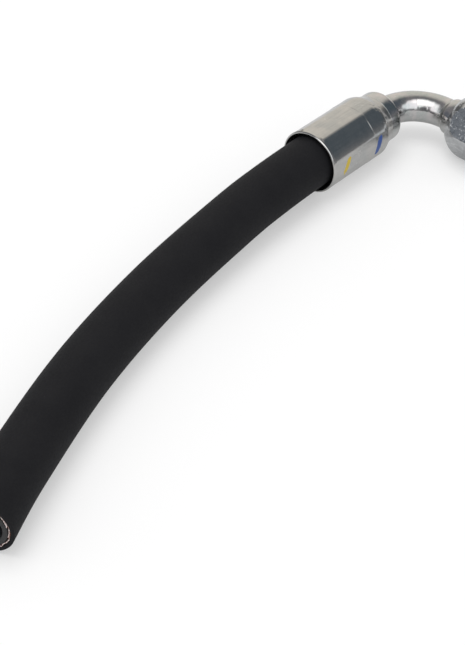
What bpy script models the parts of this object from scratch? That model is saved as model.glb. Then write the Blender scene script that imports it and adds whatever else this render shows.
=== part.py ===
"""Hydraulic hose assembly, made the way it is made on the bench.

A half inch hose (liner, one wire braid, rubber cover) is crimped into a ferrule.
The ferrule holds the hose on a barbed stem. A bent steel tube is brazed to the
stem, a flat-faced sleeve is brazed to the tube's far end, and a hexagon swivel
nut turns freely on that sleeve.

Frame: metres, +Z up. The origin is under the middle of the fitting, at the level
of the table that it lies on. The ferrule's axis runs along +X, away from the
hose, and the nut opens along -Y. All the sizes below are in metres.
"""
import math

import bmesh
import bpy
from mathutils import Vector

MM = 0.001
GAP = 0.3 * MM                      # clearance between pieces that touch

# Hose: radii from the bore outwards
BORE_RADIUS = 6.7 * MM
LINER_WALL = 1.5 * MM
BRAID_WALL = 0.8 * MM
COVER_WALL = 1.1 * MM
LINER_RADIUS = BORE_RADIUS + LINER_WALL
BRAID_BORE = LINER_RADIUS + GAP
BRAID_RADIUS = BRAID_BORE + BRAID_WALL
COVER_BORE = BRAID_RADIUS + GAP
HOSE_RADIUS = COVER_BORE + COVER_WALL
HOSE_SIDES = 24
STATION_SPACING = 4.0 * HOSE_RADIUS   # two diameters
SPLINE_STEPS = 24

# Route of the hose from the ferrule's mouth to its cut end. Each point is
# (x, y, share of the drop from the ferrule's axis down to the table).
ROUTE = (
    (0.0, 0.0, 0.0),
    (-24.0 * MM, -0.7 * MM, 0.10),
    (-48.2 * MM, -2.4 * MM, 0.35),
    (-96.0 * MM, -8.6 * MM, 0.85),
    (-143.0 * MM, -19.7 * MM, 1.0),
    (-188.4 * MM, -36.1 * MM, 1.0),
    (-212.6 * MM, -46.8 * MM, 1.0),
)

# Stem: barbed tail in the liner, a shank behind the hose's end, and a locking groove
HOSE_INSERTION = 29.0 * MM          # mouth to the end of the hose
TAIL_START = 1.6 * MM
TAIL_RADIUS = BORE_RADIUS - GAP
TAIL_WALL = 1.7 * MM
STEM_BORE = TAIL_RADIUS - TAIL_WALL
BARB_DEPTH = 0.55 * MM
BARB_COUNT = 5
SHANK_INSET = 1.1 * MM              # shank below the hose's surface
SHANK_RADIUS = HOSE_RADIUS - SHANK_INSET
SHANK_LENGTH = 3.8 * MM
GROOVE_START = HOSE_INSERTION + SHANK_LENGTH
GROOVE_DEPTH = 1.3 * MM
GROOVE_RADIUS = SHANK_RADIUS - GROOVE_DEPTH

# Ferrule: a lip, eight crimp flats, a round barrel, a shoulder and a locking neck
FERRULE_WALL = 2.5 * MM
RIM_RADIUS = HOSE_RADIUS + FERRULE_WALL
LIP_WALL = 0.9 * MM
MOUTH_BORE = RIM_RADIUS - LIP_WALL
LIP_LENGTH = 1.0 * MM
CRIMP_COUNT = 8
CRIMP_TURN = math.radians(-5.0)     # first flat, from +Z towards -Y
CRIMP_DEPTH = 0.2 * MM
CRIMP_APOTHEM = RIM_RADIUS - CRIMP_DEPTH
RIDGE_HEIGHT = 0.3 * MM             # ridges between the flats, above the barrel
RIDGE_RADIUS = RIM_RADIUS + RIDGE_HEIGHT
CRIMP_MARGIN = 3.0 * MM             # end of the flats to the end of the hose
CRIMP_LENGTH = HOSE_INSERTION - CRIMP_MARGIN
CRIMP_RAMP = 0.8 * MM
NECK_LENGTH = 7.8 * MM
FERRULE_LENGTH = GROOVE_START + NECK_LENGTH
SHOULDER_FALL = 2.2 * MM
# Shoulder, as shares of the length behind the flats and of the fall to its end
SHOULDER = (
    (0.58, 0.0), (0.63, 0.08), (0.69, 0.27), (0.75, 0.45),
    (0.82, 0.64), (0.9, 0.81), (1.0, 1.0),
)
GRIP_BORE = HOSE_RADIUS + GAP
GRIP_DEPTH = 0.5 * MM               # height of the gripping teeth in the bore
GRIP_COUNT = 5
FERRULE_SEGMENTS = 5 * CRIMP_COUNT

# Collar of the stem, with the socket that the tube is brazed into
COLLAR_RISE = 1.15 * MM             # collar above the shank
COLLAR_RADIUS = SHANK_RADIUS + COLLAR_RISE
COLLAR_START = FERRULE_LENGTH + GAP
COLLAR_LENGTH = 7.3 * MM
COLLAR_END = COLLAR_START + COLLAR_LENGTH
NOSE_FALL = 2.1 * MM
NOSE_RADIUS = COLLAR_RADIUS - NOSE_FALL     # collar's rounded end
SOCKET_DEPTH = 4.6 * MM

# Bent tube
TUBE_RADIUS = 6.35 * MM
TUBE_WALL = 1.65 * MM
TUBE_BORE = TUBE_RADIUS - TUBE_WALL
TUBE_LEAD = 0.4 * MM                # collar to the start of the bend
BEND_START = COLLAR_END + TUBE_LEAD
BEND_RADIUS = 3.0 * TUBE_RADIUS     # one and a half times the tube's diameter
TUBE_LEG = 6.0 * MM                 # straight tube between the bend and its end
BEND_STEPS = 12
FILLET_LEG = 1.7 * MM               # length of the braze fillets

# Flat-faced sleeve on the tube's end, measured along the nut's axis
SLEEVE_LEAD = 1.3 * MM              # end of the bend to the sleeve
SLEEVE_BACK = BEND_RADIUS + SLEEVE_LEAD
SLEEVE_WALL = 1.45 * MM
SLEEVE_RADIUS = TUBE_RADIUS + SLEEVE_WALL
SLEEVE_ROUND = 0.6 * MM
SLEEVE_END_RADIUS = SLEEVE_RADIUS - SLEEVE_ROUND
TUBE_SEAT = BEND_RADIUS + TUBE_LEG + GAP
SEAT_LENGTH = 5.0 * MM              # tube's end to the flange
FLANGE_START = TUBE_SEAT + SEAT_LENGTH
FLANGE_RISE = 1.4 * MM
FLANGE_RADIUS = SLEEVE_RADIUS + FLANGE_RISE
FLANGE_WIDTH = 4.6 * MM
SLEEVE_FACE = FLANGE_START + FLANGE_WIDTH

# Swivel nut
NUT_BORE = SLEEVE_RADIUS + GAP
NUT_SEAT = FLANGE_START - GAP
THREAD_CLEARANCE = 0.45 * MM        # flange to the thread's crests
THREAD_BORE = FLANGE_RADIUS + THREAD_CLEARANCE
THREAD_DEPTH = 0.6 * MM
THREAD_ROOT = THREAD_BORE + THREAD_DEPTH
NUT_WALL = 1.65 * MM                # thread's root to the middle of a flat
NUT_APOTHEM = THREAD_ROOT + NUT_WALL
CORNER_BREAK = 0.2 * MM
NUT_CORNER = NUT_APOTHEM / math.cos(math.pi / 6) - CORNER_BREAK
NUT_STANDOFF = 4.05 * MM            # sleeve's back to the nut's back
NUT_BACK = SLEEVE_BACK + NUT_STANDOFF
NUT_LENGTH = 25.0 * MM
NUT_FRONT = NUT_BACK + NUT_LENGTH
NUT_TURN = math.radians(-5.0)       # first flat, from +Z towards -X
NUT_BACK_FACE = 1.2 * MM            # width of the ring at the nut's back
NUT_BACK_RADIUS = NUT_BORE + NUT_BACK_FACE
DOME_LENGTH = 7.6 * MM
# Domed back, as shares of its length and of its climb to the corners
DOME = (
    (0.08, 0.21), (0.21, 0.41), (0.34, 0.57), (0.47, 0.71),
    (0.6, 0.83), (0.74, 0.92), (0.87, 0.97), (1.0, 1.0),
)
NUT_SEGMENTS = 48
ROUND_SEGMENTS = 40
TUBE_SIDES = 28

TABLE_GAP = 0.05 * MM


def clear_scene():
    """Remove every object that the scene starts with."""
    for item in list(bpy.data.objects):
        bpy.data.objects.remove(item, do_unlink=True)


def finish(name, colour, roughness, metallic):
    """Make a Principled material."""
    material = bpy.data.materials.new(name)
    material.use_nodes = True
    shader = material.node_tree.nodes["Principled BSDF"]
    shader.inputs["Base Color"].default_value = (*colour, 1.0)
    shader.inputs["Roughness"].default_value = roughness
    shader.inputs["Metallic"].default_value = metallic
    return material


def add_piece(name, shell, material, parent):
    """Turn a bmesh into a named object with outward faces."""
    bmesh.ops.recalc_face_normals(shell, faces=shell.faces)
    mesh = bpy.data.meshes.new(name)
    shell.to_mesh(mesh)
    shell.free()
    mesh.shade_smooth()
    mesh.set_sharp_from_angle(angle=math.radians(28.0))
    mesh.materials.append(material)
    piece = bpy.data.objects.new(name, mesh)
    piece.parent = parent
    bpy.context.scene.collection.objects.link(piece)
    return piece


def turned(outline, segments, start_angle=0.0):
    """Spin a closed outline of (x, radius) points about the X axis."""
    shell = bmesh.new()
    side = math.sin(start_angle)
    rise = math.cos(start_angle)
    ring = [shell.verts.new((x, -radius * side, radius * rise)) for x, radius in outline]
    edges = [shell.edges.new((ring[i - 1], ring[i])) for i in range(len(ring))]
    bmesh.ops.spin(
        shell, geom=ring + edges, cent=(0, 0, 0), axis=(1, 0, 0),
        angle=math.tau, steps=segments, use_merge=True,
    )
    return shell


def polygon_radius(angle, apothem, sides):
    """Distance from the centre of a regular polygon to its side at an angle."""
    pitch = math.tau / sides
    offset = (angle + pitch / 2) % pitch - pitch / 2
    return apothem / math.cos(offset)


def reshape(shell, radius_at, least_radius):
    """Move each outer vertex of a turned shell to radius_at(x, angle, radius)."""
    for vert in shell.verts:
        x, y, z = vert.co
        radius = math.hypot(y, z)
        if radius < least_radius:
            continue
        angle = math.atan2(-y, z)
        scale = radius_at(x, angle, radius) / radius
        vert.co = (x, y * scale, z * scale)


def swept(stations, outer, inner, sides):
    """Sweep a ring section along a list of (point, direction) stations."""
    shell = bmesh.new()
    loops = []
    for point, along in stations:
        across = Vector((0, 0, 1)).cross(along).normalized()
        above = along.cross(across)
        pair = []
        for radius in (outer, inner):
            turns = [math.tau * i / sides for i in range(sides)]
            ring = [point + radius * (math.cos(t) * across + math.sin(t) * above) for t in turns]
            pair.append([shell.verts.new(place) for place in ring])
        loops.append(pair)
    for before, after in zip(loops, loops[1:]):
        for skin in (0, 1):
            join_rings(shell, before[skin], after[skin])
    for pair in (loops[0], loops[-1]):
        join_rings(shell, pair[0], pair[1])
    return shell


def join_rings(shell, first, second):
    """Fill the strip of quads between two rings of vertices."""
    for i in range(len(first)):
        shell.faces.new((first[i - 1], first[i], second[i], second[i - 1]))


def spline_point(knots, index, share):
    """Point and direction on the Catmull-Rom curve after a knot."""
    before = knots[max(index - 1, 0)]
    start, end = knots[index], knots[index + 1]
    after = knots[min(index + 2, len(knots) - 1)]
    leave = (end - before) / 2
    arrive = (after - start) / 2
    s, s2, s3 = share, share ** 2, share ** 3
    point = (2 * s3 - 3 * s2 + 1) * start + (s3 - 2 * s2 + s) * leave
    point += (3 * s2 - 2 * s3) * end + (s3 - s2) * arrive
    along = (6 * s2 - 6 * s) * (start - end) + (3 * s2 - 4 * s + 1) * leave
    along += (3 * s2 - 2 * s) * arrive
    return point, along.normalized()


def hose_stations(drop):
    """Stations along the hose, from its end inside the ferrule to the cut end."""
    knots = [Vector((HOSE_INSERTION / 2, 0, 0))]
    knots += [Vector((x, y, -drop * share)) for x, y, share in ROUTE]
    curve = []
    for index in range(1, len(knots) - 1):
        curve += [spline_point(knots, index, i / SPLINE_STEPS) for i in range(SPLINE_STEPS)]
    curve.append(spline_point(knots, len(knots) - 2, 1.0))
    length = sum((b[0] - a[0]).length for a, b in zip(curve, curve[1:]))
    spacing = length / round(length / STATION_SPACING)
    stations = [(Vector((HOSE_INSERTION, 0, 0)), Vector((-1, 0, 0)))]
    travelled = spacing
    for before, after in zip(curve, curve[1:]):
        if travelled >= spacing:
            stations.append(before)
            travelled -= spacing
        travelled += (after[0] - before[0]).length
    stations.append(curve[-1])
    return stations


def tube_stations():
    """Stations along the bent tube, from the stem's socket to its end."""
    start = COLLAR_END - SOCKET_DEPTH + GAP
    stations = [(Vector((start, 0, 0)), Vector((1, 0, 0)))]
    for step in range(BEND_STEPS + 1):
        turn = math.radians(90.0) * step / BEND_STEPS
        x = BEND_START + BEND_RADIUS * math.sin(turn)
        y = BEND_RADIUS * (math.cos(turn) - 1.0)
        along = Vector((math.cos(turn), -math.sin(turn), 0))
        stations.append((Vector((x, y, 0)), along))
    end = Vector((BEND_START + BEND_RADIUS, -BEND_RADIUS - TUBE_LEG, 0))
    stations.append((end, Vector((0, -1, 0))))
    return stations


def ferrule_outline():
    """Closed outline of the ferrule: outside from the mouth, then the bore back."""
    shoulder = FERRULE_LENGTH - CRIMP_LENGTH
    outside = [
        (0.0, MOUTH_BORE + 0.35 * MM),
        (0.25 * MM, RIM_RADIUS - 0.1 * MM),
        (0.6 * MM, RIM_RADIUS),
        (LIP_LENGTH, RIM_RADIUS),
        (LIP_LENGTH + CRIMP_RAMP, RIM_RADIUS),
        (CRIMP_LENGTH - CRIMP_RAMP, RIM_RADIUS),
        (CRIMP_LENGTH, RIM_RADIUS),
    ]
    for share, fall in SHOULDER:
        outside.append((CRIMP_LENGTH + share * shoulder, RIM_RADIUS - fall * SHOULDER_FALL))
    lip = GROOVE_RADIUS + GAP
    inside = [
        (FERRULE_LENGTH, lip),
        (GROOVE_START + GAP, lip),
        (GROOVE_START + GAP, SHANK_RADIUS + GAP),
        (HOSE_INSERTION + GAP, SHANK_RADIUS + GAP),
        (HOSE_INSERTION + GAP, GRIP_BORE),
    ]
    pitch = (HOSE_INSERTION - 7.0 * MM) / GRIP_COUNT
    for tooth in range(GRIP_COUNT):
        x = HOSE_INSERTION - 1.5 * MM - tooth * pitch
        inside.append((x, GRIP_BORE + GRIP_DEPTH))
        inside.append((x - pitch * 0.75, GRIP_BORE))
    inside.append((3.2 * MM, GRIP_BORE))
    inside.append((0.7 * MM, MOUTH_BORE - 0.15 * MM))
    inside.append((0.1 * MM, MOUTH_BORE))
    return outside + inside


def crimped(x, angle, radius):
    """Press the ferrule's barrel between the dies, leaving ridges between them."""
    if x < LIP_LENGTH or x > CRIMP_LENGTH:
        return radius
    flat = polygon_radius(angle - CRIMP_TURN, CRIMP_APOTHEM, CRIMP_COUNT)
    pressed = min(flat, RIDGE_RADIUS)
    edge = min(x - LIP_LENGTH, CRIMP_LENGTH - x) / CRIMP_RAMP
    blend = min(1.0, edge)
    return radius + blend * (pressed - radius)


def stem_outline():
    """Closed outline of the stem: barbed tail, shank, locking groove and collar."""
    outside = [(TAIL_START, STEM_BORE + 0.7 * MM)]
    pitch = (HOSE_INSERTION - TAIL_START - 2.0 * MM) / BARB_COUNT
    for barb in range(BARB_COUNT):
        x = TAIL_START + 0.6 * MM + barb * pitch
        outside.append((x, TAIL_RADIUS - BARB_DEPTH))
        outside.append((x + pitch * 0.8, TAIL_RADIUS))
    outside += [
        (HOSE_INSERTION + GAP, TAIL_RADIUS - BARB_DEPTH),
        (HOSE_INSERTION + GAP, SHANK_RADIUS),
        (GROOVE_START, SHANK_RADIUS),
        (GROOVE_START, GROOVE_RADIUS),
        (COLLAR_START, GROOVE_RADIUS),
        (COLLAR_START, COLLAR_RADIUS - 0.5 * MM),
        (COLLAR_START + 0.7 * MM, COLLAR_RADIUS - 0.1 * MM),
        (COLLAR_START + 1.6 * MM, COLLAR_RADIUS),
        (COLLAR_END - 2.3 * MM, COLLAR_RADIUS - 0.05 * MM),
        (COLLAR_END - 1.6 * MM, COLLAR_RADIUS - 0.4 * MM),
        (COLLAR_END - 0.9 * MM, COLLAR_RADIUS - 0.95 * MM),
        (COLLAR_END - 0.3 * MM, COLLAR_RADIUS - 1.55 * MM),
        (COLLAR_END, NOSE_RADIUS),
    ]
    inside = [
        (COLLAR_END, TUBE_RADIUS + GAP),
        (COLLAR_END - SOCKET_DEPTH, TUBE_RADIUS + GAP),
        (COLLAR_END - SOCKET_DEPTH, STEM_BORE),
        (TAIL_START, STEM_BORE),
    ]
    return outside + inside


def fillet_outline(start, direction, top):
    """Closed outline of a braze fillet round the tube, up a face at start to a radius."""
    foot = TUBE_RADIUS + GAP
    height = top - foot
    face = start + direction * GAP
    toe = face + direction * FILLET_LEG
    middle = face + direction * FILLET_LEG * 0.35
    return [
        (face, foot),
        (face, top),
        (middle, foot + height * 0.45),
        (toe, foot + 0.1 * MM),
        (toe, foot),
    ]


def sleeve_outline():
    """Closed outline of the flat-faced sleeve, along the nut's axis."""
    return [
        (SLEEVE_BACK, TUBE_RADIUS + GAP),
        (SLEEVE_BACK, SLEEVE_END_RADIUS),
        (SLEEVE_BACK + 0.6 * MM, SLEEVE_RADIUS - 0.3 * MM),
        (SLEEVE_BACK + 2.2 * MM, SLEEVE_RADIUS),
        (FLANGE_START, SLEEVE_RADIUS),
        (FLANGE_START + 1.2 * MM, FLANGE_RADIUS),
        (SLEEVE_FACE - 0.3 * MM, FLANGE_RADIUS),
        (SLEEVE_FACE, FLANGE_RADIUS - 0.3 * MM),
        (SLEEVE_FACE, TUBE_BORE),
        (TUBE_SEAT, TUBE_BORE),
        (TUBE_SEAT, TUBE_RADIUS + GAP),
    ]


def nut_outline():
    """Closed outline of the swivel nut before its hexagon is cut."""
    outside = [(NUT_BACK, NUT_BORE + 0.3 * MM), (NUT_BACK, NUT_BACK_RADIUS)]
    rise = NUT_CORNER - NUT_BACK_RADIUS
    for share, climb in DOME:
        outside.append((NUT_BACK + share * DOME_LENGTH, NUT_BACK_RADIUS + climb * rise))
    outside += [
        (NUT_FRONT - 1.4 * MM, NUT_CORNER),
        (NUT_FRONT - 0.5 * MM, NUT_CORNER - 1.2 * MM),
        (NUT_FRONT, NUT_CORNER - 2.0 * MM),
    ]
    inside = [
        (NUT_FRONT, THREAD_ROOT + 0.2 * MM),
        (NUT_FRONT - 1.0 * MM, THREAD_BORE),
        (NUT_SEAT + 0.9 * (THREAD_BORE - NUT_BORE), THREAD_BORE),
        (NUT_SEAT, NUT_BORE),
        (NUT_BACK + 0.3 * MM, NUT_BORE),
    ]
    return outside + inside


def hexagonal(x, angle, radius):
    """Cut the nut's outside down to its six flats."""
    return min(radius, polygon_radius(angle - NUT_TURN, NUT_APOTHEM, 6))


def seat_on_table(mouth, fitting):
    """Put the origin under the middle of the fitting, at the height of the table."""
    bpy.context.view_layer.update()
    points = []
    for piece in fitting:
        points += [piece.matrix_world @ vert.co for vert in piece.data.vertices]
    lows = [min(point[axis] for point in points) for axis in range(3)]
    highs = [max(point[axis] for point in points) for axis in range(3)]
    mouth.location = (-(lows[0] + highs[0]) / 2, -(lows[1] + highs[1]) / 2, -lows[2])


def main():
    """Build the assembly round the centre of the ferrule's mouth, then seat it."""
    clear_scene()
    rubber = finish("black_rubber", (0.02, 0.02, 0.021), 0.62, 0.0)
    nitrile = finish("dark_nitrile", (0.035, 0.035, 0.037), 0.7, 0.0)
    wire = finish("brassed_wire", (0.62, 0.45, 0.33), 0.4, 1.0)
    zinc = finish("zinc_plate", (0.62, 0.61, 0.58), 0.32, 1.0)
    bright = finish("bright_plate", (0.68, 0.67, 0.64), 0.16, 1.0)
    braze = finish("braze_metal", (0.66, 0.62, 0.52), 0.3, 1.0)

    mouth = bpy.data.objects.new("mouth_centre", None)
    bpy.context.scene.collection.objects.link(mouth)
    nut_axis = bpy.data.objects.new("nut_axis", None)
    bpy.context.scene.collection.objects.link(nut_axis)
    nut_axis.parent = mouth
    nut_axis.location = (BEND_START + BEND_RADIUS, 0, 0)
    nut_axis.rotation_euler = (0, 0, math.radians(-90.0))

    shell = turned(ferrule_outline(), FERRULE_SEGMENTS, CRIMP_TURN)
    reshape(shell, crimped, MOUTH_BORE + 0.4 * MM)
    fitting = [add_piece("ferrule", shell, zinc, mouth)]
    fitting.append(add_piece("stem", turned(stem_outline(), ROUND_SEGMENTS), bright, mouth))
    collar_fillet = fillet_outline(COLLAR_END, 1, NOSE_RADIUS - GAP)
    fitting.append(add_piece("stem_braze", turned(collar_fillet, ROUND_SEGMENTS), braze, mouth))
    tube = swept(tube_stations(), TUBE_RADIUS, TUBE_BORE, TUBE_SIDES)
    fitting.append(add_piece("bent_tube", tube, bright, mouth))

    sleeve_fillet = turned(fillet_outline(SLEEVE_BACK, -1, SLEEVE_END_RADIUS), ROUND_SEGMENTS)
    fitting.append(add_piece("sleeve_braze", sleeve_fillet, braze, nut_axis))
    sleeve = turned(sleeve_outline(), ROUND_SEGMENTS)
    fitting.append(add_piece("face_sleeve", sleeve, bright, nut_axis))
    shell = turned(nut_outline(), NUT_SEGMENTS, NUT_TURN)
    reshape(shell, hexagonal, NUT_BORE + 0.5 * MM)
    fitting.append(add_piece("swivel_nut", shell, zinc, nut_axis))
    seat_on_table(mouth, fitting)

    stations = hose_stations(mouth.location.z - HOSE_RADIUS - TABLE_GAP)
    add_piece("inner_tube", swept(stations, LINER_RADIUS, BORE_RADIUS, HOSE_SIDES), nitrile, mouth)
    add_piece("wire_braid", swept(stations, BRAID_RADIUS, BRAID_BORE, HOSE_SIDES), wire, mouth)
    add_piece("hose_cover", swept(stations, HOSE_RADIUS, COVER_BORE, HOSE_SIDES), rubber, mouth)


main()
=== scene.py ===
"""Visual model of a hydraulic hose assembly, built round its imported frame.

A half inch hose is crimped into a ferrule, an elbow of bent tube is brazed to the
ferrule's stem, and a hexagon nut swivels on a sleeve at the tube's end. Each class
below is one sub-assembly: its fields are its sizes in metres, and its methods build
its pieces and dress them. Finishes are frozen classes that make their own materials
from a few shared effects. Positions come from the frame's own boxes.
"""

import logging
import math
import random
from dataclasses import dataclass, field
from enum import Enum
from typing import Callable, Iterable, Optional, Sequence, Union

import bmesh
import bpy
import numpy as np
from mathutils import Matrix, Vector


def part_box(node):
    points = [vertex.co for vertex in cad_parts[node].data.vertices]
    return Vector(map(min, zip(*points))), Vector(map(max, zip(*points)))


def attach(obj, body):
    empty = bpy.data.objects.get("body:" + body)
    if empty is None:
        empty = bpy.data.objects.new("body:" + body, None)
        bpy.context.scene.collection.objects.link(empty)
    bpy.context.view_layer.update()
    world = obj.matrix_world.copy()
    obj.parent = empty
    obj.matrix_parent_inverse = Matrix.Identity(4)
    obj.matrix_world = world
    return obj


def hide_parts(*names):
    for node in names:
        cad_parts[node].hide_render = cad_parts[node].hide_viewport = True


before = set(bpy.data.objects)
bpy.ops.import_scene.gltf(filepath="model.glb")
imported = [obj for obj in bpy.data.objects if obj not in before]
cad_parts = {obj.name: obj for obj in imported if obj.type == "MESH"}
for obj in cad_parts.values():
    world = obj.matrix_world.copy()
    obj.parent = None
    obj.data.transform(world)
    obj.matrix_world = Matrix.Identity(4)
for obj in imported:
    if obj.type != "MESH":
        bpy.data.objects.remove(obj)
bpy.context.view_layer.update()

MM = 0.001
FULL_TURN = math.tau
LOG = logging.getLogger("hose_assembly")

Colour = tuple[float, float, float]
Socket = bpy.types.NodeSocket
Value = Union[float, Socket]
Profile = Sequence[tuple[float, float]]


class Body(Enum):
    """Moving bodies of the frame."""

    FITTING = "hose_and_elbow"
    NUT = "swivel_nut"


class Slot(Enum):
    """Material slots of the record."""

    COVER = "cover_rubber"
    LINER = "liner_rubber"
    WIRE = "braid_wire"
    ZINC = "zinc_steel"
    BRIGHT = "bright_steel"
    BRAZE = "braze_metal"


class Effect(Enum):
    """Surface effects that more than one finish uses."""

    SCRATCHES = "hairline_scratches"
    MOTTLE = "cloudy_mottle"
    WEAR = "edge_wear"
    SPECKS = "settled_specks"
    DAB = "brush_dab"
    CLOTH = "cloth_imprint"


# --------------------------------------------------------------------------
# Shader wiring
# --------------------------------------------------------------------------


class Wiring:
    """Places and joins nodes in one shader tree."""

    def __init__(self, tree: bpy.types.NodeTree) -> None:
        """Start on a tree.

        Args:
            tree: the node tree to work in.
        """
        self.tree = tree

    def place(self, kind: str, **settings: object) -> bpy.types.Node:
        """Add a node.

        Args:
            kind: the node's type, without the leading "ShaderNode".
            settings: properties set on the node.

        Returns:
            The new node.
        """
        node = self.tree.nodes.new("ShaderNode" + kind)
        for name, value in settings.items():
            setattr(node, name, value)
        return node

    def feed(self, socket: Socket, value: object) -> None:
        """Link a socket to another, or set its constant.

        Args:
            socket: the input to feed.
            value: an output socket, a number, a vector or a colour.
        """
        if isinstance(value, bpy.types.NodeSocket):
            self.tree.links.new(value, socket)
        elif socket.type == "RGBA":
            socket.default_value = (*tuple(value)[:3], 1.0)
        else:
            socket.default_value = value

    def fill(self, node: bpy.types.Node, **values: object) -> None:
        """Feed several inputs of a node.

        Args:
            node: the node.
            values: its inputs, by name, with _ for a space.
        """
        for name, value in values.items():
            self.feed(node.inputs[name.replace("_", " ").title()], value)

    def math(self, operation: str, first: Value, second: Value = 0.0, clamp: bool = False) -> Socket:
        """Combine two values.

        Args:
            operation: the Math node's operation.
            first: the first operand.
            second: the second operand.
            clamp: whether the result is kept between 0 and 1.

        Returns:
            The result's socket.
        """
        node = self.place("Math", operation=operation, use_clamp=clamp)
        self.feed(node.inputs[0], first)
        if len(node.inputs) > 1 and node.inputs[1].enabled:
            self.feed(node.inputs[1], second)
        return node.outputs[0]

    def remap(self, value: Value, start: float, end: float, low: Value = 0.0, high: Value = 1.0) -> Socket:
        """Map a value smoothly from one span to another.

        Args:
            value: the value to map.
            start: where the result is low.
            end: where the result is high.
            low: the result at start.
            high: the result at end.

        Returns:
            The result's socket.
        """
        node = self.place("MapRange", interpolation_type="SMOOTHSTEP")
        self.fill(node, value=value, from_min=start, from_max=end, to_min=low, to_max=high)
        return node.outputs["Result"]

    def blend(self, share: Value, first: object, second: object, mode: str = "MIX") -> Socket:
        """Mix two colours.

        Args:
            share: how much of the second colour.
            first: a colour or its socket.
            second: a colour or its socket.
            mode: the blend mode.

        Returns:
            The mixed colour's socket.
        """
        node = self.place("Mix", data_type="RGBA", blend_type=mode)
        self.feed(node.inputs[0], share)
        self.feed(node.inputs[6], first)
        self.feed(node.inputs[7], second)
        return node.outputs[2]

    def noise(self, vector: Socket, scale: Value, detail: float = 2.0, roughness: float = 0.5) -> Socket:
        """Add a noise texture and give its value.

        Args:
            vector: the coordinates.
            scale: cells per unit.
            detail: octaves.
            roughness: strength of each finer octave.

        Returns:
            The noise value's socket.
        """
        node = self.place("TexNoise")
        self.fill(node, vector=vector, scale=scale, detail=detail, roughness=roughness)
        return node.outputs[0]

    def stretched(self, vector: Socket, turn: Sequence[float], scale: Sequence[float]) -> Socket:
        """Turn and scale coordinates.

        Args:
            vector: the coordinates.
            turn: Euler angles in degrees.
            scale: the factor on each axis after the turn.

        Returns:
            The new coordinates' socket.
        """
        turned = self.place("VectorRotate", rotation_type="EULER_XYZ")
        self.feed(turned.inputs["Vector"], vector)
        self.feed(turned.inputs["Rotation"], [math.radians(angle) for angle in turn])
        scaled = self.place("VectorMath", operation="MULTIPLY")
        self.feed(scaled.inputs[0], turned.outputs[0])
        self.feed(scaled.inputs[1], list(scale))
        return scaled.outputs[0]

    def coordinates(self, kind: str = "Object") -> Socket:
        """Give one kind of texture coordinate.

        Args:
            kind: "Object" for metres in the piece, "UV" for its laid out map.

        Returns:
            The coordinates' socket.
        """
        return self.place("TexCoord").outputs[kind]


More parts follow.
